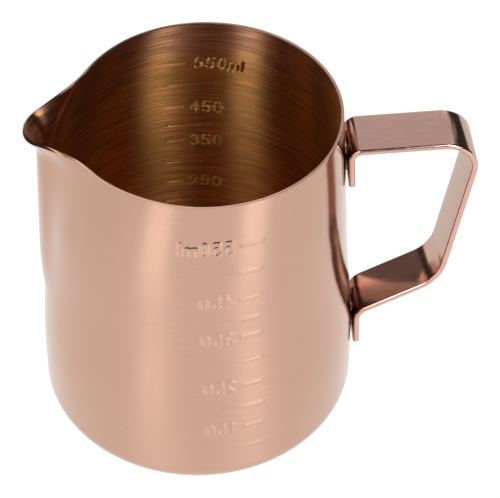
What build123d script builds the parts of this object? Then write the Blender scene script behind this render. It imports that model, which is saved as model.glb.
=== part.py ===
from build123d import *
import math
import os

# A steel milk pitcher of about 600 ml, in millimetres.
#
# The body is one drawn cup of thin sheet: a flat pressed base, a full belly, a wall that
# narrows to the rim, and a spout pressed out of that wall.  The handle is one flat bar, bent
# four times, whose two flat feet are spot-welded to the round wall.
#
# Frame: +Z is up and the origin is the centre of the base ring that the pitcher stands on.
# The handle points along +X and the spout along -X; the pitcher is symmetric about Y = 0.

# ---- body: outside sizes -------------------------------------------------------------------
jug_height = 105.4
belly_diameter = 92.0
base_corner_radius = 6.6
wall = 0.8
# Heights on the wall, and how much narrower than the belly it is across there.
lower_wall_height = 30.0
lower_wall_taper = 1.0
middle_wall_height = 55.0
middle_wall_taper = 5.2
shoulder_height = 80.0
shoulder_taper = 8.3
rim_taper = 16.3
# Pressing the spout draws the rim circle towards the handle by this much.
rim_shift = 2.75
rim_shift_start = 74.0

# ---- base: a panel pressed up inside the standing ring ------------------------------------
base_ring_width = 5.0
base_panel_lift = 1.2
base_panel_slope = 2.0

# ---- spout ----------------------------------------------------------------------------------
spout_root_height = 40.5
spout_belly_height = 61.0
neck_below_lip = 6.8
# How far the ridge stays inside the belly's outside, and how far the lip stands beyond it.
spout_belly_inset = 0.8
neck_inset = 2.0
lip_overhang = 1.3
lip_drop = 3.9
lip_drop_run = 36.5
# Half the angle that the spout takes up on the round wall, at its root and at its neck.
root_spread = 6.0
neck_spread = 30.7
lip_spread_gain = 1.0
# How much steeper than the round wall the flank runs into the nose.
root_flank_angle = 3.0
neck_hollow = 16.2
lip_hollow_gain = 10.7
root_nose_radius = 20.0
neck_nose_radius = 7.0
lip_nose_radius = 8.0

# ---- handle: one bent bar ---------------------------------------------------------------------
bar_width = 15.0
bar_thickness = 1.8
bar_edge_radius = 0.7
foot_below_rim = 12.1
upper_foot_length = 12.5
lower_foot_bottom = 15.7
lower_foot_length = 12.3
handle_top_rise = 1.0
elbow_height = 40.8
# How far the outside of the bar stands beyond the belly, at the top bend and at the elbow.
handle_stand_off = 34.0
elbow_stand_off = 25.5
upper_foot_bend = 3.0
top_bend = 8.7
elbow_bend = 13.2
lower_foot_bend = 5.0

# ---- welds -------------------------------------------------------------------------------------
weld_diameter = 5.0
weld_gap = 0.3
weld_pitch = 6.0

# ---- worked out ----------------------------------------------------------------------------------
belly_radius = belly_diameter / 2
spout_belly_reach = belly_radius - spout_belly_inset
neck_reach = belly_radius - neck_inset
lip_reach = belly_radius + lip_overhang
handle_reach = belly_radius + handle_stand_off
elbow_reach = belly_radius + elbow_stand_off
upper_foot_bottom = jug_height - foot_below_rim - upper_foot_length

# Level sections that the skin is drawn through, from the root to the neck and to the tip.
SPOUT_STEPS = 8
LIP_STEPS = 2


def natural_spline(stations, height):
    """Value at a height of the smooth curve through (height, value) stations.

    The curve starts upright at the first station and is free at the last.
    """
    x = [station[0] for station in stations]
    y = [station[1] for station in stations]
    last = len(x) - 1
    gap = [x[i + 1] - x[i] for i in range(last)]
    rise = [(y[i + 1] - y[i]) / gap[i] for i in range(last)]
    diagonal = [2.0 * gap[0]]
    right = [6.0 * rise[0]]
    for i in range(1, last):
        factor = gap[i - 1] / diagonal[i - 1]
        diagonal.append(2.0 * (gap[i - 1] + gap[i]) - factor * gap[i - 1])
        right.append(6.0 * (rise[i] - rise[i - 1]) - factor * right[i - 1])
    bend = [0.0] * (last + 1)
    for i in range(last - 1, -1, -1):
        bend[i] = (right[i] - gap[i] * bend[i + 1]) / diagonal[i]
    i = max(k for k in range(last) if height >= x[k] or k == 0)
    a = x[i + 1] - height
    b = height - x[i]
    cubic = (bend[i] * a**3 + bend[i + 1] * b**3) / (6.0 * gap[i])
    line = (y[i] / gap[i] - bend[i] * gap[i] / 6.0) * a
    return cubic + line + (y[i + 1] / gap[i] - bend[i + 1] * gap[i] / 6.0) * b


def wall_radius(height):
    """Outside radius of the round wall, above the base corner."""
    stations = (
        (base_corner_radius, belly_radius),
        (lower_wall_height, belly_radius - lower_wall_taper / 2),
        (middle_wall_height, belly_radius - middle_wall_taper / 2),
        (shoulder_height, belly_radius - shoulder_taper / 2),
        (jug_height, belly_radius - rim_taper / 2),
    )
    return natural_spline(stations, height)


def wall_centre(height):
    """How far the round wall's centre has moved towards the handle."""
    part = max(0.0, (height - rim_shift_start) / (jug_height - rim_shift_start))
    return rim_shift * part**1.5


def spout_part(height):
    """How far up the spout a height is, from 0 at its root to 1 at its neck."""
    neck_height = jug_height - lip_drop - neck_below_lip
    return min(1.0, max(0.0, (height - spout_root_height) / (neck_height - spout_root_height)))


def lip_part(height):
    """How far up the lip a height is: 0 at the neck, 1 at the tip, more above it."""
    neck_height = jug_height - lip_drop - neck_below_lip
    return max(0.0, (height - neck_height) / neck_below_lip)


def spout_reach(height):
    """Distance from the Z axis to the ridge of the spout."""
    neck_height = jug_height - lip_drop - neck_below_lip
    lean = (neck_reach - spout_belly_reach) / (neck_height - spout_belly_height)
    reach = neck_reach + lean * (height - neck_height)
    if height < spout_belly_height:
        below = (spout_belly_height - height) / (spout_belly_height - spout_root_height)
        root_reach = neck_reach + lean * (spout_root_height - neck_height)
        reach -= (root_reach - wall_radius(spout_root_height)) * below**2
    flare = lip_reach - neck_reach - lean * neck_below_lip
    return reach + flare * lip_part(height)**2


def across(outline, height):
    """Level distance through the wall where the outline leans."""
    step = 0.01
    slope = (outline(height) - outline(height - step)) / step
    return wall * math.hypot(1.0, slope)


def jug_section(height, depth):
    """Closed outline of the jug at a height, depth times the wall inside the outer skin.

    It runs round the nose of the spout, along one flank, round the wall and back along the
    other flank, and every joint in it is smooth.
    """
    part = spout_part(height)
    lip = lip_part(height)
    centre = wall_centre(height)
    radius = wall_radius(height) - depth * across(wall_radius, height)
    spread = root_spread + (neck_spread - root_spread) * math.sqrt(part) + lip_spread_gain * lip
    hollow = neck_hollow * part + lip_hollow_gain * lip
    if part > 0.0:
        reach = spout_reach(height) - depth * across(spout_reach, height)
        nose = root_nose_radius + (neck_nose_radius - root_nose_radius) * part
        nose += (lip_nose_radius - neck_nose_radius) * min(1.0, lip) - depth * wall
        flank = math.radians(root_flank_angle * (1.0 - part) + spread * part**0.1 + hollow)
    else:
        reach = radius
        nose = radius
        flank = math.radians(root_flank_angle)
    spread = math.radians(spread)
    nose_x = -(reach - nose) - nose * math.cos(flank)
    nose_y = nose * math.sin(flank)
    wall_x = centre - radius * math.cos(spread)
    wall_y = radius * math.sin(spread)
    pull = math.hypot(wall_x - nose_x, wall_y - nose_y) / 3.0
    back = (centre + radius, 0.0)
    nose_edge = ThreePointArc((nose_x, -nose_y), (-reach, 0.0), (nose_x, nose_y))
    halves = []
    for side in (1, -1):
        start = Vector(nose_x, side * nose_y)
        end = Vector(wall_x, side * wall_y)
        if part > 0.0:
            leave = start + Vector(math.sin(flank), side * math.cos(flank)) * pull
            arrive = end - Vector(math.sin(spread), side * math.cos(spread)) * pull
            flank_edge = Bezier(start, leave, arrive, end)
        else:
            half = (flank + spread) / 2
            flank_edge = ThreePointArc(
                start, (-radius * math.cos(half), side * radius * math.sin(half)), end
            )
        quarter = (spread + math.pi) / 2
        beside = (centre - radius * math.cos(quarter), side * radius * math.sin(quarter))
        halves.append([flank_edge, ThreePointArc(end, beside, back)])
    return Pos(0, 0, height) * Wire([nose_edge, *halves[0], *reversed(halves[1])])


def lower_cup(depth):
    """The round cup below the spout, turned from its half outline."""
    step = 4.0
    floor_z = depth * wall
    corner = base_corner_radius - depth * wall
    rise = [base_corner_radius + step * i for i in range(1, 40)]
    heights = [z for z in rise if z < spout_root_height - step / 2] + [spout_root_height]
    side = [(wall_radius(z) - depth * across(wall_radius, z), z) for z in heights]
    belly = belly_radius - depth * wall
    middle = (belly - corner * (1 - math.sqrt(0.5)), base_corner_radius - corner * math.sqrt(0.5))
    with BuildPart() as cup:
        with BuildSketch(Plane.XZ):
            with BuildLine():
                Line((0, spout_root_height), (0, floor_z))
                Line((0, floor_z), (belly - corner, floor_z))
                ThreePointArc((belly - corner, floor_z), middle, (belly, base_corner_radius))
                Spline((belly, base_corner_radius), *side)
                Line(side[-1], (0, spout_root_height))
            make_face()
        revolve(axis=Axis.Z)
    return cup.part


def jug_solid(depth):
    """The whole cup filled to above its rim, at depth walls inside the outer skin."""
    neck_height = jug_height - lip_drop - neck_below_lip
    spout_step = (neck_height - spout_root_height) / SPOUT_STEPS
    lip_step = neck_below_lip / LIP_STEPS
    heights = [spout_root_height + spout_step * k for k in range(SPOUT_STEPS)]
    heights += [neck_height + lip_step * k for k in range(LIP_STEPS + 1)]
    heights.append(jug_height)
    upper = Solid.make_loft([jug_section(z, depth) for z in heights])
    return lower_cup(depth) + upper


def above_the_rim():
    """The waste above the rim, which dips in an arc to the tip of the spout."""
    start = lip_drop_run - lip_reach
    radius = (lip_drop_run**2 + lip_drop**2) / (2 * lip_drop)
    far = start - 1.4 * lip_drop_run
    drop = radius - math.sqrt(radius**2 - (far - start) ** 2)
    turn = math.asin((start - far) / radius) / 2
    middle = (start - radius * math.sin(turn), jug_height - radius * (1 - math.cos(turn)))
    top = jug_height + 10.0
    with BuildPart() as waste:
        with BuildSketch(Plane.XZ):
            with BuildLine():
                ThreePointArc((start, jug_height), middle, (far, jug_height - drop))
                Polyline((far, jug_height - drop), (far, top), (start, top), (start, jug_height))
            make_face()
        extrude(amount=belly_diameter, both=True)
    return waste.part


def base_panel():
    """The hollow under the base: a shallow cone inside the standing ring."""
    outer = belly_radius - base_corner_radius - base_ring_width
    return Pos(0, 0, base_panel_lift / 2) * Cone(outer, outer - base_panel_slope, base_panel_lift)


def jug_body():
    """The drawn cup: skin less cavity, with its base pressed up and its rim trimmed."""
    panel = base_panel()
    body = jug_solid(0.0) - above_the_rim() - panel
    cavity = jug_solid(1.0) - Pos(0, 0, wall) * panel
    return body - cavity


def handle_wall(height):
    """X of the outer wall on the handle side."""
    return wall_centre(height) + wall_radius(height)


def foot_lean(bottom, length):
    """Change of X for each unit of height along a foot, which follows the wall."""
    return (handle_wall(bottom + length) - handle_wall(bottom)) / length


def foot_line(bottom, length):
    """Lower and upper end of a foot's centre line, held off the wall by the weld gap."""
    lean = foot_lean(bottom, length)
    stand_off = (weld_gap + bar_thickness / 2) * math.hypot(1.0, lean)
    lower_x = handle_wall(bottom) + stand_off
    return [(lower_x, bottom), (lower_x + lean * length, bottom + length)]


def handle():
    """The bent bar: a foot, the top run, the long grip run, the lower run, a foot."""
    upper_end, upper_corner = foot_line(upper_foot_bottom, upper_foot_length)
    lower_end, lower_corner = foot_line(lower_foot_bottom, lower_foot_length)
    top_height = upper_corner[1] + handle_top_rise
    corners = [
        upper_end,
        upper_corner,
        (handle_reach - bar_thickness / 2, top_height),
        (elbow_reach - bar_thickness / 2, elbow_height),
        lower_corner,
        lower_end,
    ]
    bends = [upper_foot_bend, top_bend, elbow_bend, lower_foot_bend]
    with BuildPart() as bar:
        with BuildLine(Plane.XZ) as path:
            FilletPolyline(*corners, radius=bends)
        with BuildSketch(Plane(path.line @ 0, x_dir=(0, 1, 0), z_dir=path.line % 0)):
            RectangleRounded(bar_width, bar_thickness, bar_edge_radius)
        sweep()
    return bar.part


def foot_welds(bottom, length):
    """Two spot welds, one above the other, from the wall to the flat inner face of a foot."""
    lean = foot_lean(bottom, length)
    face = handle_wall(bottom) + lean * length / 2 + weld_gap * math.hypot(1.0, lean)
    seat = Plane((face, 0, bottom + length / 2), x_dir=(0, 1, 0), z_dir=(-1, 0, lean))
    nugget = Cylinder(
        weld_diameter / 2,
        weld_gap + wall,
        align=(Align.CENTER, Align.CENTER, Align.MIN),
    )
    pair = [seat * Pos(0, side * weld_pitch / 2, 0) * nugget for side in (-1, 1)]
    return Part() + pair - jug_solid(0.0)


os.makedirs("parts", exist_ok=True)
export_step(jug_body(), "parts/jug_body.step")
export_step(handle(), "parts/handle.step")
export_step(foot_welds(upper_foot_bottom, upper_foot_length), "parts/upper_foot_welds.step")
export_step(foot_welds(lower_foot_bottom, lower_foot_length), "parts/lower_foot_welds.step")
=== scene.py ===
import math

import bpy
import numpy as np
from mathutils import Matrix, Vector


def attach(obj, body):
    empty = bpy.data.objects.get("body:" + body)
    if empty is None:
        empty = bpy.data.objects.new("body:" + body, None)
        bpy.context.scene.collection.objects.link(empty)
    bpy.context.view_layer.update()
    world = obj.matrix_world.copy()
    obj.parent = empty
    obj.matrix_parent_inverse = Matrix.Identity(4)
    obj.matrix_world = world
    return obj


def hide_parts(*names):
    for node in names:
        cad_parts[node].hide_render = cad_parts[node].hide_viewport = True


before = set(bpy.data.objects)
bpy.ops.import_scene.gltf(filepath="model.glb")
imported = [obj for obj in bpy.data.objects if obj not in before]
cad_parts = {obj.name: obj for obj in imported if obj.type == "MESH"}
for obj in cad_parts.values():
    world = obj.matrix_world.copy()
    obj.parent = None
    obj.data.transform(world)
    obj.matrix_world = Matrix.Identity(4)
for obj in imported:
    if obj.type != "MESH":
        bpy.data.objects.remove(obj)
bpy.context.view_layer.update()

# A rose-gold steel milk pitcher: a drawn jug with a pressed pouring spout and a volume scale
# stamped into its wall, and a flat handle bar that is spot-welded on.
# Lengths in the values below are millimetres; MM turns them into metres.
MM = 0.001

# ---- jug body ----------------------------------------------------------------------------------
jug_height = 105.4
belly_radius = 46.0
base_corner_radius = 6.6
# Height and outside radius at three places up the wall.
lower_wall = (30.0, 45.5)
middle_wall = (55.0, 43.4)
shoulder = (80.0, 41.85)
rim_radius = 37.85
wall = 0.8
# Pressing the spout draws the rim circle towards the handle by this much.
rim_shift = 2.75
rim_shift_start = 74.0
rim_rounding = 0.30

base_ring_width = 5.0
base_panel_lift = 1.2
base_panel_slope = 2.0

# ---- pouring spout -----------------------------------------------------------------------------
spout_root_height = 40.5
spout_belly_height = 61.0
spout_belly_reach = 45.2
neck_below_lip = 6.8
neck_reach = 44.0
lip_reach = 47.3
lip_drop = 3.9
lip_drop_run = 36.5
# Half the angle that the spout takes up on the round wall, at its root and at its neck.
root_spread = 6.0
neck_spread = 30.7
lip_spread_gain = 1.0
# How much steeper than the round wall the flank runs into the nose.
root_flank_angle = 3.0
neck_hollow = 16.2
lip_hollow_gain = 10.7
root_nose_radius = 20.0
neck_nose_radius = 7.0
lip_nose_radius = 8.0
neck_height = jug_height - lip_drop - neck_below_lip

# ---- volume scale ------------------------------------------------------------------------------
# Each mark's height on the side of the jug towards -Y; the other side's sits a little lower.
mark_heights = {
    550: 92.2,
    500: 83.1,
    450: 73.6,
    400: 66.0,
    350: 59.4,
    300: 49.7,
    250: 40.8,
    200: 32.2,
    150: 24.3,
    100: 15.4,
}
far_scale_drop = 3.64
# Half width, depth and width of the slope beside it, for each kind of stroke.
near_strokes = {
    "sign": (0.17, 0.18, 0.38),
    "tick": (0.05, 0.12, 0.40),
    "start": (0.08, 0.12, 0.40),
    "end": (0.12, 0.15, 0.40),
}
far_strokes = {
    "sign": (0.16, 0.19, 0.40),
    "tick": (0.12, 0.26, 0.38),
    "start": (0.22, 0.50, 0.30),
    "end": (0.12, 0.30, 0.38),
}
digit_height = 4.1
digit_width = 2.45
digit_pitch = 3.28
short_tick = 5.6
long_tick = 10.8
number_gap = 2.3
tick_end = 0.1
# Where the ticks start: degrees round the wall towards the handle, from straight across the jug.
near_scale_start = 20.0
far_scale_start = -9.0
# How far beyond its line a stroke's slope may reach, and the least distance of a scale from the
# plane through the spout and the handle.
stroke_margin = 1.5
scale_nearest = 15.0

# ---- grid that the jug is turned on ------------------------------------------------------------
# Degrees round the wall from the middle of the spout to the last column of its nose and flank.
nose_columns_end = 12.0
flank_columns_end = 48.0
# Degrees that the finer columns start before the ticks, and how many they take up in all.
scale_margin = 3.0
scale_span = 40.0
# Degrees between columns, and the distance between rings.
column_spacing = {"nose": 0.75, "flank": 1.3, "plain": 2.8, "scale": 1.35, "before spout": 2.2}
ring_spacing = {"plain": 1.8, "scale": 1.05, "top": 1.1}
# Half the height of the finer rings at a tick and at a number.
tick_rings = 1.3
number_rings = digit_height / 2 + 0.8
scale_cuts = 3

# ---- handle bar --------------------------------------------------------------------------------
bar_width = 15.0
bar_thickness = 1.8
bar_edge_radius = 0.7
foot_below_rim = 12.1
upper_foot_length = 12.5
lower_foot_bottom = 15.7
lower_foot_length = 12.3
handle_reach = 80.0
handle_top_rise = 1.0
elbow_reach = 71.5
elbow_height = 40.8
# Radius of each bend along the middle of the bar, from the upper foot to the lower one.
handle_bends = (3.0, 8.7, 13.2, 5.0)
weld_gap = 0.3

# ---- metal -------------------------------------------------------------------------------------
# Depth of the brushed relief, and the roughness of the thin sheen over the inside.
brush_depth = 0.02
coat_roughness = 0.6
# The inside is tinted from this height up to the rim.
rim_tint = (1.05, 1.10, 2.0)
rim_tint_start = 84.0

# ---- camera ------------------------------------------------------------------------------------
# Turns in degrees.
camera_place = (-24.74, -429.09, 492.85)
camera_turn = (44.251, -0.493, -4.837)
camera_lens = 152.48
camera_sensor = 36.0
camera_clip = 10.0

# ---- studio ------------------------------------------------------------------------------------
floor_side = 4000.0
floor_colour = (0.10, 0.10, 0.10)
floor_roughness = 0.38
floor_glow = 0.94
surround_glow = 0.04
white = (1.0, 1.0, 1.0)
base_middle = (0, 0, 0)
belly_middle = (0, 0, 60)
# Place, target, size, power and colour of each panel.
panels = {
    "back_panel": ((210, 1000, 1030), base_middle, (1100, 900), 2.0, white),
    "back_fade": ((840, 1000, 1030), base_middle, (160, 900), 0.14, white),
    "left_panel": ((-900, 1000, 640), base_middle, (800, 500), 0.16, (1.0, 0.73, 0.62)),
    "low_panel": ((100, 1000, 510), base_middle, (800, 220), 0.80, (1.0, 0.86, 0.80)),
    "high_panel": ((-760, 1000, 1480), base_middle, (420, 420), 0.95, (1.0, 0.86, 0.55)),
    "front_panel": ((0, -1100, 700), belly_middle, (700, 800), 0.80, white),
}
# Two tall softboxes in front: degrees from straight in front towards the handle, and power.
softboxes = {"left_softbox": (-35.3, 7.3), "right_softbox": (33.2, 8.6)}
softbox_distance = 800
softbox_height = 640
softbox_size = (290, 900)


# ---- small tools -------------------------------------------------------------------------------
def deselect_all():
    bpy.ops.object.select_all(action="DESELECT")


def places(piece):
    """The piece's vertices as an array of places in millimetres."""
    count = len(piece.data.vertices)
    flat = np.empty(count * 3)
    piece.data.vertices.foreach_get("co", flat)
    return flat.reshape(count, 3) / MM


def put(piece, where):
    """Moves the piece's vertices to an array of places in millimetres."""
    piece.data.vertices.foreach_set("co", (where * MM).ravel())
    piece.data.update()


def add_modifier(piece, kind, **settings):
    """Adds a modifier, sets it and applies it."""
    bpy.ops.object.modifier_add(type=kind)
    modifier = piece.modifiers[-1]
    for name, value in settings.items():
        setattr(modifier, name, value)
    bpy.ops.object.modifier_apply(modifier=modifier.name)


# ---- the jug's form ----------------------------------------------------------------------------
def smooth_step(value):
    """A smooth rise from 0 to 1 as the value goes from 0 to 1."""
    value = np.clip(value, 0.0, 1.0)
    return value * value * (3.0 - 2.0 * value)


def wall_radius(height):
    """Outside radius of the round wall: a smooth curve that starts upright at the corner."""
    stations = [
        (base_corner_radius, belly_radius),
        lower_wall,
        middle_wall,
        shoulder,
        (jug_height, rim_radius),
    ]
    x, y = np.array(stations).T
    gap = np.diff(x)
    rise = np.diff(y) / gap
    last = len(gap)
    system = np.zeros((last + 1, last + 1))
    right = np.zeros(last + 1)
    system[0, :2] = 2.0 * gap[0], gap[0]
    right[0] = 6.0 * rise[0]
    for i in range(1, last):
        system[i, i - 1 : i + 2] = gap[i - 1], 2.0 * (gap[i - 1] + gap[i]), gap[i]
        right[i] = 6.0 * (rise[i] - rise[i - 1])
    system[last, last] = 1.0
    bend = np.linalg.solve(system, right)
    height = np.asarray(height, float)
    i = np.clip(np.searchsorted(x, height, side="right") - 1, 0, last - 1)
    a = x[i + 1] - height
    b = height - x[i]
    cubic = (bend[i] * a**3 + bend[i + 1] * b**3) / (6.0 * gap[i])
    line = (y[i] / gap[i] - bend[i] * gap[i] / 6.0) * a
    return cubic + line + (y[i + 1] / gap[i] - bend[i + 1] * gap[i] / 6.0) * b


def wall_centre(height):
    """How far the round wall's centre has moved towards the handle."""
    part = np.maximum(0.0, (height - rim_shift_start) / (jug_height - rim_shift_start))
    return rim_shift * part**1.5


def spout_reach(height):
    """Distance from the middle of the jug to the ridge of the spout."""
    lean = (neck_reach - spout_belly_reach) / (neck_height - spout_belly_height)
    reach = neck_reach + lean * (height - neck_height)
    below = np.maximum(0.0, spout_belly_height - height) / (spout_belly_height - spout_root_height)
    root_reach = neck_reach + lean * (spout_root_height - neck_height)
    reach -= (root_reach - wall_radius(spout_root_height)) * below**2
    lip = np.maximum(0.0, (height - neck_height) / neck_below_lip)
    return reach + (lip_reach - neck_reach - lean * neck_below_lip) * lip**2


def skin_radius(height, turn):
    """Distance of the skin from the wall's centre at each height and each turn from the spout.

    A level cut through the spout is the arc of its nose, then a flank on each side that curves
    back into the round wall.
    """
    turn = np.abs(turn)
    radius = wall_radius(height)
    part = np.clip((height - spout_root_height) / (neck_height - spout_root_height), 1e-6, 1.0)
    lip = np.maximum(0.0, (height - neck_height) / neck_below_lip)
    spread = root_spread + (neck_spread - root_spread) * np.sqrt(part) + lip_spread_gain * lip
    nose = root_nose_radius + (neck_nose_radius - root_nose_radius) * part
    nose += (lip_nose_radius - neck_nose_radius) * np.minimum(1.0, lip)
    hollow = neck_hollow * part + lip_hollow_gain * lip
    flank = np.radians(root_flank_angle * (1.0 - part) + spread * part**0.1 + hollow)
    spread = np.radians(spread)
    ahead = spout_reach(height) + wall_centre(height) - nose
    nose_end = np.stack([ahead + nose * np.cos(flank), nose * np.sin(flank)])
    wall_start = np.stack([radius * np.cos(spread), radius * np.sin(spread)])
    pull = np.hypot(*(wall_start - nose_end)) / 3.0
    leave = nose_end + pull * np.stack([-np.sin(flank), np.cos(flank)])
    arrive = wall_start - pull * np.stack([-np.sin(spread), np.cos(spread)])
    low, high = np.zeros_like(turn), np.ones_like(turn)
    # Halves the flank's curve again and again, down to the point that lies at the turn.
    for _ in range(24):
        t = (low + high) / 2
        point = (1 - t) ** 3 * nose_end + 3 * (1 - t) ** 2 * t * leave
        point += 3 * (1 - t) * t**2 * arrive + t**3 * wall_start
        short = np.arctan2(point[1], point[0]) < turn
        low, high = np.where(short, t, low), np.where(short, high, t)
    on_flank = np.hypot(*point)
    on_nose = ahead * np.cos(turn)
    on_nose += np.sqrt(np.maximum(0.0, nose**2 - (ahead * np.sin(turn)) ** 2))
    skin = np.where(turn <= np.arctan2(nose_end[1], nose_end[0]), on_nose, on_flank)
    return np.where((height <= spout_root_height) | (turn >= spread), radius, skin)


def rim_height(x):
    """Height of the rim above a place along the jug: level, then an arc down to the lip."""
    radius = (lip_drop_run**2 + lip_drop**2) / (2.0 * lip_drop)
    past = np.maximum(0.0, lip_drop_run - lip_reach - x)
    return jug_height - (radius - np.sqrt(radius**2 - past**2))


# ---- the volume scale's strokes ----------------------------------------------------------------
def arc(centre, radius, start, end, steps=10):
    """Points of a stroke that follows an ellipse; angles in degrees from the right."""
    turns = np.radians(np.linspace(start, end, steps))
    right, up = centre
    wide, high = radius
    return [(right + wide * math.cos(a), up + high * math.sin(a)) for a in turns]


# One stroke or more for each sign, in a box one unit wide and one unit high.
SIGNS = {
    "0": [arc((0.5, 0.5), (0.42, 0.5), 90, 450, 20)],
    "1": [[(0.3, 0.8), (0.58, 1.0), (0.58, 0.0)]],
    "2": [arc((0.5, 0.72), (0.4, 0.28), 170, -35, 10) + [(0.08, 0.0), (0.92, 0.0)]],
    "3": [arc((0.48, 0.75), (0.38, 0.25), 160, -90), arc((0.48, 0.26), (0.42, 0.26), 90, -160)],
    "4": [[(0.7, 0.0), (0.7, 1.0), (0.06, 0.3), (0.94, 0.3)]],
    "5": [[(0.86, 1.0), (0.2, 1.0), (0.14, 0.56)] + arc((0.48, 0.32), (0.42, 0.32), 140, -150, 12)],
    "m": [
        [(0.0, 0.0), (0.0, 0.65)],
        [(0.0, 0.45)] + arc((0.36, 0.42), (0.33, 0.23), 160, 0, 6) + [(0.69, 0.0)],
        [(0.69, 0.45)] + arc((1.05, 0.42), (0.33, 0.23), 160, 0, 6) + [(1.38, 0.0)],
    ],
    "l": [[(0.1, 0.0), (0.1, 1.0)]],
}
# From the start of a sign to the start of the next, where that isn't the digits' pitch.
SIGN_WIDTHS = {"m": 4.3}


def numbered(amount):
    """Whether the mark has a short tick with its number beside it, as every other one has."""
    return amount % 100 == 50


def scale_strokes(kinds):
    """Every stroke of one scale: half width, depth, slope and line from where the ticks start."""
    strokes = []
    for amount, height in mark_heights.items():
        length = short_tick if numbered(amount) else long_tick
        strokes.append((*kinds["tick"], [(0.0, height), (length, height)]))
        strokes.append((*kinds["start"], [(0.0, height), (tick_end, height)]))
        strokes.append((*kinds["end"], [(length - tick_end, height), (length, height)]))
        if not numbered(amount):
            continue
        along = short_tick + number_gap
        unit = "ml" if amount == max(mark_heights) else ""
        for sign in f"{amount}{unit}":
            for stroke in SIGNS[sign]:
                low = height - digit_height / 2
                line = [(along + u * digit_width, low + v * digit_height) for u, v in stroke]
                strokes.append((*kinds["sign"], line))
            along += SIGN_WIDTHS.get(sign, digit_pitch)
    return strokes


def stroke_push(kinds, along, up, reach):
    """How far the strokes of one scale push each place out, with slopes drawn out to a reach."""
    push = np.zeros(along.shape)
    for half_width, depth, slope, line in scale_strokes(kinds):
        line = np.array(line)
        low, high = line.min(axis=0) - stroke_margin, line.max(axis=0) + stroke_margin
        near = (along > low[0]) & (along < high[0]) & (up > low[1]) & (up < high[1])
        place = np.stack([along[near], up[near]], axis=-1)
        for start, end in zip(line[:-1], line[1:]):
            run = end - start
            t = np.clip((place - start) @ run / (run @ run), 0.0, 1.0)
            gap = np.linalg.norm(place - start - t[:, None] * run, axis=1) - half_width
            share = 1.0 - smooth_step(gap / (slope * reach))
            push[near] = np.maximum(push[near], depth * share)
    return push


# ---- the grid that the jug is turned on --------------------------------------------------------
def spread_evenly(edges, spacing):
    """Places from the first edge to the last, as close together as the spacing of each stretch."""
    fine = np.linspace(edges[0], edges[-1], 8001)
    middle = (fine[1:] + fine[:-1]) / 2
    density = 1.0 / np.asarray(spacing)[np.searchsorted(edges, middle, side="right") - 1]
    total = np.concatenate([[0.0], np.cumsum(density * np.diff(fine))])
    count = int(math.ceil(total[-1]))
    return np.interp(np.linspace(0.0, total[-1], count + 1), total, fine)


def column_turns():
    """Degrees from the spout of each column, closer together at the spout and the scales."""
    far_start = 90.0 + far_scale_start - scale_margin
    near_start = 270.0 - near_scale_start - scale_margin
    stretches = [
        (nose_columns_end, "nose"),
        (flank_columns_end, "flank"),
        (far_start, "plain"),
        (far_start + scale_span, "scale"),
        (near_start, "plain"),
        (near_start + scale_span, "scale"),
        (360.0 - flank_columns_end, "before spout"),
        (360.0 - nose_columns_end, "flank"),
        (360.0, "nose"),
    ]
    edges = [0.0] + [end for end, _ in stretches]
    spacing = [column_spacing[kind] for _, kind in stretches]
    return spread_evenly(edges, spacing)[:-1]


def wall_heights():
    """Heights of the rings of the wall, closer together at the scale's marks."""
    bands = []
    for amount, height in mark_heights.items():
        reach = number_rings if numbered(amount) else tick_rings
        for drop in (0.0, far_scale_drop):
            bands.append((height - drop - reach, height - drop + reach))
    edges = [base_corner_radius]
    spacing = []
    for low, high in sorted(bands):
        if low > edges[-1]:
            edges += [low, high]
            spacing += [ring_spacing["plain"], ring_spacing["scale"]]
        else:
            edges[-1] = max(edges[-1], high)
    edges.append(jug_height)
    spacing.append(ring_spacing["top"])
    return spread_evenly(edges, spacing)


# ---- jug body ----------------------------------------------------------------------------------
def jug_profile():
    """(radius, height) of each ring of the outer skin, from the middle of the base to the rim."""
    panel = belly_radius - base_corner_radius - base_ring_width
    rings = [(panel * share, base_panel_lift) for share in (0.45, 0.75)]
    for share in (0.0, 0.2, 0.4, 0.6, 0.8, 1.0):
        lift = base_panel_lift * (1.0 - float(smooth_step(share)))
        rings.append((panel - base_panel_slope * (1.0 - share), lift))
    flat = belly_radius - base_corner_radius
    rings += [(panel + base_ring_width * share, 0.0) for share in (0.35, 0.7)]
    for turn in np.radians(np.linspace(0.0, 90.0, 11)[:-1]):
        radius = flat + base_corner_radius * math.sin(turn)
        rings.append((radius, base_corner_radius * (1.0 - math.cos(turn))))
    rings += [(float(wall_radius(z)), float(z)) for z in wall_heights()]
    return rings


def turned_cup(columns):
    """The outer skin of a plain round cup, drawn up ring by ring from a disc."""
    rings = jug_profile()
    radius, height = rings[0]
    deselect_all()
    bpy.ops.mesh.primitive_circle_add(
        vertices=columns, radius=radius * MM, fill_type="TRIFAN", location=(0, 0, height * MM)
    )
    cup = bpy.context.object
    bpy.ops.object.transform_apply(location=True, rotation=True, scale=True)
    bpy.ops.object.mode_set(mode="EDIT")
    bpy.ops.mesh.select_mode(type="EDGE")
    bpy.ops.mesh.select_all(action="SELECT")
    bpy.ops.mesh.region_to_loop()
    for next_radius, next_height in rings[1:]:
        rise = (0.0, 0.0, (next_height - height) * MM)
        bpy.ops.mesh.extrude_edges_move(TRANSFORM_OT_translate={"value": rise})
        share = next_radius / radius
        bpy.ops.transform.resize(value=(share, share, 1.0), center_override=(0, 0, 0))
        radius, height = next_radius, next_height
    bpy.ops.mesh.select_all(action="SELECT")
    bpy.ops.mesh.normals_make_consistent(inside=False)
    bpy.ops.object.mode_set(mode="OBJECT")
    return cup


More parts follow.
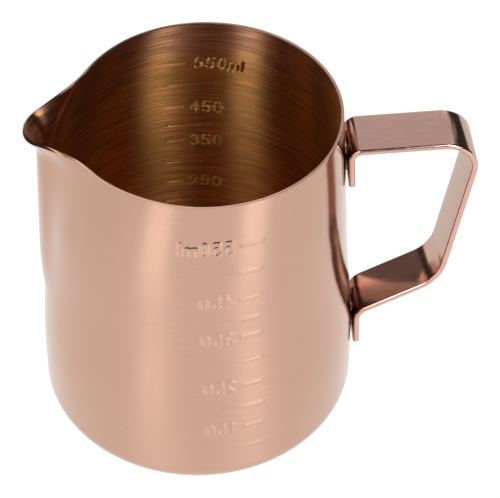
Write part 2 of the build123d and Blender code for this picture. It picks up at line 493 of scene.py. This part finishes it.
def gather_columns(cup, turns):
    """Slides the even columns of a turned cup round it, to the turns that the shape needs."""
    where = places(cup)
    radius = np.hypot(where[:, 0], where[:, 1])
    even = np.degrees(np.arctan2(where[:, 1], -where[:, 0])) % 360.0
    column = np.round(even * len(turns) / 360.0).astype(int) % len(turns)
    turn = np.radians(turns[column])
    where[:, 0] = -radius * np.cos(turn)
    where[:, 1] = radius * np.sin(turn)
    put(cup, where)


def scale_push(where, centre, reach=1.0):
    """How far either volume scale pushes each place on the wall outwards."""
    x, y, height = where.T
    x = x - centre
    push = np.zeros(len(where))
    scales = [
        (-1, near_strokes, near_scale_start, 0.0),
        (1, far_strokes, -far_scale_start, far_scale_drop),
    ]
    for side, kinds, start, drop in scales:
        across = np.degrees(np.arctan2(-side * x, side * y))
        along = np.radians(start - across) * np.hypot(x, y)
        here = (side * y > scale_nearest) & (height > base_corner_radius + 0.1)
        push[here] = stroke_push(kinds, along[here], height[here] + drop, reach)
    return push


def refine_scale(cup):
    """Divides the faces round the scales' strokes into squares of about a quarter of a millimetre."""
    middles = np.array([face.center for face in cup.data.polygons]) / MM
    close = scale_push(middles, 0.0, reach=2.0) > 0.0
    deselect_all()
    cup.select_set(True)
    bpy.ops.object.mode_set(mode="EDIT")
    bpy.ops.mesh.select_mode(type="FACE")
    bpy.ops.mesh.select_all(action="DESELECT")
    bpy.ops.object.mode_set(mode="OBJECT")
    cup.data.polygons.foreach_set("select", close)
    bpy.ops.object.mode_set(mode="EDIT")
    bpy.ops.mesh.subdivide(number_cuts=scale_cuts)
    bpy.ops.object.mode_set(mode="OBJECT")


def rim_heights(turn):
    """Height at which the skin meets the rim's arc, at each turn."""
    low = np.full(turn.shape, jug_height - lip_drop - 1.0)
    high = np.full(turn.shape, jug_height)
    for _ in range(30):
        middle = (low + high) / 2
        x = wall_centre(middle) - skin_radius(middle, turn) * np.cos(turn)
        under = middle < rim_height(x)
        low, high = np.where(under, middle, low), np.where(under, high, middle)
    return high


def press_spout(cup):
    """Presses the spout out of the wall, draws the rim over and trims it down to the lip."""
    where = places(cup)
    side = where[:, 2] >= base_corner_radius - 1e-4
    x, y, height = where[side].T
    turn = np.arctan2(y, -x)
    upper = (height - rim_shift_start) / (jug_height - rim_shift_start)
    height = height - np.maximum(0.0, upper) * (jug_height - rim_heights(turn))
    radius = skin_radius(height, turn)
    x = wall_centre(height) - radius * np.cos(turn)
    where[side] = np.stack([x, radius * np.sin(turn), height], axis=1)
    put(cup, where)


def stamp_scale(cup):
    """Stamps a volume scale outwards on each side of the jug, no wider than its belly."""
    where = places(cup)
    centre = wall_centre(where[:, 2])
    from_centre = np.stack([where[:, 0] - centre, where[:, 1]], axis=1)
    radius = np.hypot(*from_centre.T)
    outwards = from_centre / np.maximum(1.0, radius)[:, None]
    where[:, :2] += outwards * scale_push(where, centre)[:, None]
    where[:, 1] = np.clip(where[:, 1], -belly_radius, belly_radius)
    put(cup, where)


def jug_body(outside, inside):
    """The drawn cup: one skin, pressed and stamped, then thickened inwards and rounded at the rim."""
    turns = column_turns()
    body = turned_cup(len(turns))
    body.name = "jug_shell"
    body.data.materials.append(outside)
    body.data.materials.append(inside)
    gather_columns(body, turns)
    refine_scale(body)
    press_spout(body)
    stamp_scale(body)
    add_modifier(
        body,
        "SOLIDIFY",
        thickness=wall * MM,
        offset=-1.0,
        use_even_offset=True,
        use_quality_normals=True,
        material_offset=1,
        material_offset_rim=0,
    )
    add_modifier(
        body,
        "BEVEL",
        width=rim_rounding * MM,
        segments=4,
        limit_method="ANGLE",
        angle_limit=math.radians(60.0),
        material=0,
    )
    bpy.ops.object.shade_smooth()
    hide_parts("jug_body")
    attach(body, "root")


# ---- handle ------------------------------------------------------------------------------------
def foot_line(bottom, length):
    """Lower and upper end of a foot's centre line, which lies along the wall, a gap off it."""
    low = float(wall_centre(bottom) + wall_radius(bottom))
    high = float(wall_centre(bottom + length) + wall_radius(bottom + length))
    lean = (high - low) / length
    start = low + (weld_gap + bar_thickness / 2) * math.hypot(1.0, lean)
    end = start + lean * length
    return Vector((start, 0.0, bottom)), Vector((end, 0.0, bottom + length))


def handle_corners():
    """Where the straights of the bar's middle line meet, from the upper foot to the lower one."""
    upper_bottom = jug_height - foot_below_rim - upper_foot_length
    upper_end, upper_corner = foot_line(upper_bottom, upper_foot_length)
    lower_end, lower_corner = foot_line(lower_foot_bottom, lower_foot_length)
    return [
        upper_end,
        upper_corner,
        Vector((handle_reach - bar_thickness / 2, 0.0, upper_corner.z + handle_top_rise)),
        Vector((elbow_reach - bar_thickness / 2, 0.0, elbow_height)),
        lower_corner,
        lower_end,
    ]


def handle_bar(material):
    """One flat bar: its rounded section is pushed along the straights and spun round the bends."""
    corners = handle_corners()
    first = (corners[1] - corners[0]).normalized()
    deselect_all()
    bpy.ops.mesh.primitive_plane_add(size=MM, location=(0, 0, 0))
    bar = bpy.context.object
    bar.name = "handle_bar"
    bar.data.materials.append(material)
    bpy.ops.object.mode_set(mode="EDIT")
    bpy.ops.transform.resize(value=(bar_thickness, bar_width, 1.0))
    bpy.ops.mesh.bevel(
        offset=bar_edge_radius * MM, offset_type="OFFSET", segments=5, affect="VERTICES"
    )
    lean = math.atan2(first.x, first.z)
    bpy.ops.object.mode_set(mode="OBJECT")
    bar.data.transform(Matrix.Translation(corners[0] * MM) @ Matrix.Rotation(lean, 4, "Y"))
    bpy.ops.object.mode_set(mode="EDIT")
    bpy.ops.mesh.select_mode(type="FACE")
    bpy.ops.mesh.select_all(action="SELECT")
    here = corners[0]
    for k, radius in enumerate(handle_bends, start=1):
        before = (corners[k] - corners[k - 1]).normalized()
        after = (corners[k + 1] - corners[k]).normalized()
        bend = before.angle(after)
        tangent = radius * math.tan(bend / 2)
        start = corners[k] - before * tangent
        push = (start - here) * MM
        bpy.ops.mesh.extrude_region_move(TRANSFORM_OT_translate={"value": push})
        turn_axis = before.cross(after).normalized()
        centre = start + turn_axis.cross(before) * radius
        steps = max(8, int(math.degrees(bend) / 5))
        bpy.ops.mesh.spin(
            steps=steps, angle=-bend, center=centre * MM, axis=turn_axis, use_auto_merge=False
        )
        here = corners[k] + after * tangent
    push = (corners[-1] - here) * MM
    bpy.ops.mesh.extrude_region_move(TRANSFORM_OT_translate={"value": push})
    bpy.ops.mesh.select_all(action="SELECT")
    bpy.ops.mesh.remove_doubles(threshold=1e-6)
    bpy.ops.mesh.normals_make_consistent(inside=False)
    bpy.ops.object.mode_set(mode="OBJECT")
    bpy.ops.object.shade_smooth_by_angle(angle=math.radians(35.0))
    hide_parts("handle")
    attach(bar, "root")


# ---- materials ---------------------------------------------------------------------------------
# The sockets of a mix node that hold its share, its two colours and its result.
MIX_SHARE, MIX_FIRST, MIX_SECOND, MIX_RESULT = 0, 6, 7, 2


def new_material(name):
    """A material with its tree of nodes and its shader."""
    material = bpy.data.materials.new(name)
    material.use_nodes = True
    tree = material.node_tree
    return material, tree, tree.nodes["Principled BSDF"]


def add_node(tree, kind, **settings):
    """Adds a node to the tree and sets it."""
    node = tree.nodes.new(kind)
    for name, value in settings.items():
        setattr(node, name, value)
    return node


def streaks(tree, scale):
    """Noise drawn out by the scale along each axis, in marks per metre, on Object coordinates."""
    place = add_node(tree, "ShaderNodeTexCoord")
    stretch = add_node(tree, "ShaderNodeMapping")
    stretch.inputs["Scale"].default_value = scale
    noise = add_node(tree, "ShaderNodeTexNoise")
    noise.inputs["Scale"].default_value = 1.0
    noise.inputs["Detail"].default_value = 4.0
    tree.links.new(place.outputs["Object"], stretch.inputs["Vector"])
    tree.links.new(stretch.outputs["Vector"], noise.inputs["Vector"])
    return noise.outputs["Fac"]


def span(tree, value, low, high):
    """The value from 0.3 to 0.7 spread over low to high."""
    node = add_node(tree, "ShaderNodeMapRange")
    node.inputs["From Min"].default_value = 0.3
    node.inputs["From Max"].default_value = 0.7
    node.inputs["To Min"].default_value = low
    node.inputs["To Max"].default_value = high
    tree.links.new(value, node.inputs["Value"])
    return node.outputs["Result"]


def blend_colours(tree, value, dark, light):
    """The dark colour where the value is 0, and the light one where it is 1."""
    node = add_node(tree, "ShaderNodeMix", data_type="RGBA")
    node.inputs[MIX_FIRST].default_value = (*dark, 1.0)
    node.inputs[MIX_SECOND].default_value = (*light, 1.0)
    tree.links.new(value, node.inputs[MIX_SHARE])
    return node.outputs[MIX_RESULT]


def metal(name, dark, light, rough, streak_scale, bump, lay=None, coat=0.0, edge=white):
    """A coloured metal with fine drawn-out marks in its colour, gloss and surface.

    A brushed metal has a lay: the share of a full turn between the jug's axis and its marks,
    which spread a light up and down the wall.  The edge tints it where it is seen edge-on.
    """
    material, tree, shader = new_material(name)
    shader.inputs["Metallic"].default_value = 1.0
    marks = streaks(tree, streak_scale)
    colour = blend_colours(tree, span(tree, marks, 0.0, 1.0), dark, light)
    tree.links.new(colour, shader.inputs["Base Color"])
    tree.links.new(span(tree, marks, rough[0], rough[1]), shader.inputs["Roughness"])
    relief = add_node(tree, "ShaderNodeBump")
    relief.inputs["Strength"].default_value = bump
    relief.inputs["Distance"].default_value = brush_depth * MM
    tree.links.new(marks, relief.inputs["Height"])
    tree.links.new(relief.outputs["Normal"], shader.inputs["Normal"])
    shader.inputs["Specular Tint"].default_value = (*edge, 1.0)
    shader.inputs["Coat Weight"].default_value = coat
    shader.inputs["Coat Roughness"].default_value = coat_roughness
    if lay:
        shader.inputs["Anisotropic"].default_value = 1.0
        shader.inputs["Anisotropic Rotation"].default_value = lay
        round_axis = add_node(tree, "ShaderNodeTangent", direction_type="RADIAL", axis="Z")
        tree.links.new(round_axis.outputs["Tangent"], shader.inputs["Tangent"])
    return material


def tint_towards_rim(material, tint, start):
    """Tints a metal more and more from a height in millimetres up to the rim."""
    tree = material.node_tree
    colour = tree.nodes["Principled BSDF"].inputs["Base Color"]
    place = add_node(tree, "ShaderNodeTexCoord")
    axes = add_node(tree, "ShaderNodeSeparateXYZ")
    share = add_node(tree, "ShaderNodeMapRange", interpolation_type="SMOOTHSTEP")
    share.inputs["From Min"].default_value = start * MM
    share.inputs["From Max"].default_value = jug_height * MM
    tinted = add_node(tree, "ShaderNodeMix", data_type="RGBA", blend_type="MULTIPLY")
    tinted.inputs[MIX_SECOND].default_value = (*tint, 1.0)
    tree.links.new(place.outputs["Object"], axes.inputs["Vector"])
    tree.links.new(axes.outputs["Z"], share.inputs["Value"])
    tree.links.new(share.outputs["Result"], tinted.inputs[MIX_SHARE])
    tree.links.new(colour.links[0].from_socket, tinted.inputs[MIX_FIRST])
    tree.links.new(tinted.outputs[MIX_RESULT], colour)


def materials():
    """The four metals: each side of the jug's wall, the handle and the welds."""
    return {
        "outside": metal(
            "rose_gold_satin",
            dark=(0.540, 0.330, 0.242),
            light=(0.560, 0.345, 0.256),
            rough=(0.10, 0.12),
            streak_scale=(60, 60, 3600),
            bump=0.03,
            lay=0.25,
        ),
        "inside": metal(
            "brushed_bronze",
            dark=(0.31, 0.147, 0.046),
            light=(0.82, 0.388, 0.118),
            rough=(0.30, 0.34),
            streak_scale=(75, 75, 3200),
            bump=0.10,
            lay=0.238,
            coat=0.10,
        ),
        "handle": metal(
            "rose_gold_polish",
            dark=(0.60, 0.365, 0.305),
            light=(0.64, 0.395, 0.330),
            rough=(0.12, 0.17),
            streak_scale=(300, 900, 300),
            bump=0.05,
            edge=(0.75, 0.82, 0.77),
        ),
        "weld": metal(
            "weld_metal",
            dark=(0.35, 0.20, 0.14),
            light=(0.46, 0.28, 0.20),
            rough=(0.35, 0.5),
            streak_scale=(900, 900, 900),
            bump=0.4,
        ),
    }


# ---- studio ------------------------------------------------------------------------------------
def add_camera():
    """The camera that looks down into the jug from the side of the near scale."""
    data = bpy.data.cameras.new("camera")
    data.lens = camera_lens
    data.sensor_width = camera_sensor
    data.clip_start = camera_clip * MM
    camera = bpy.data.objects.new("camera", data)
    camera.location = [v * MM for v in camera_place]
    camera.rotation_euler = [math.radians(a) for a in camera_turn]
    bpy.context.scene.collection.objects.link(camera)
    bpy.context.scene.camera = camera


def add_softbox(name, place, target, size, power, shade=white):
    """A rectangular soft light at a place in millimetres, facing a target."""
    data = bpy.data.lights.new(name, "AREA")
    data.shape = "RECTANGLE"
    data.size = size[0] * MM
    data.size_y = size[1] * MM
    data.energy = power
    data.color = shade
    light = bpy.data.objects.new(name, data)
    light.location = [v * MM for v in place]
    way = Vector(target) - Vector(place)
    light.rotation_euler = way.to_track_quat("-Z", "Y").to_euler()
    bpy.context.scene.collection.objects.link(light)


def add_floor():
    """A wide floor that glows nearly white, with a faint sheen."""
    deselect_all()
    bpy.ops.mesh.primitive_plane_add(size=floor_side * MM, location=(0, 0, 0))
    floor = bpy.context.object
    floor.name = "floor"
    material, _, shader = new_material("pale_floor")
    shader.inputs["Base Color"].default_value = (*floor_colour, 1.0)
    shader.inputs["Roughness"].default_value = floor_roughness
    shader.inputs["Emission Color"].default_value = (*white, 1.0)
    shader.inputs["Emission Strength"].default_value = floor_glow
    floor.data.materials.append(material)


def add_surround():
    """A faint white glow from all round."""
    world = bpy.data.worlds.new("studio")
    bpy.context.scene.world = world
    world.use_nodes = True
    background = world.node_tree.nodes["Background"]
    background.inputs["Color"].default_value = (*white, 1.0)
    background.inputs["Strength"].default_value = surround_glow


def add_lights():
    """The panels, then a tall softbox on each side of the camera."""
    for name, (place, target, size, power, shade) in panels.items():
        add_softbox(name, place, target, size, power, shade)
    for name, (turn, power) in softboxes.items():
        turn = math.radians(turn)
        right, ahead = softbox_distance * math.sin(turn), softbox_distance * math.cos(turn)
        add_softbox(name, (right, -ahead, softbox_height), belly_middle, softbox_size, power)


def dress_welds(material):
    """Gives the welds, which keep their own solids, a metal."""
    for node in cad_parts.values():
        if "weld" in node.name:
            node.data.materials.clear()
            node.data.materials.append(material)


def main():
    finish = materials()
    tint_towards_rim(finish["inside"], rim_tint, rim_tint_start)
    bpy.context.scene.view_settings.view_transform = "Standard"
    add_camera()
    add_floor()
    add_surround()
    add_lights()
    jug_body(finish["outside"], finish["inside"])
    handle_bar(finish["handle"])
    dress_welds(finish["weld"])


main()
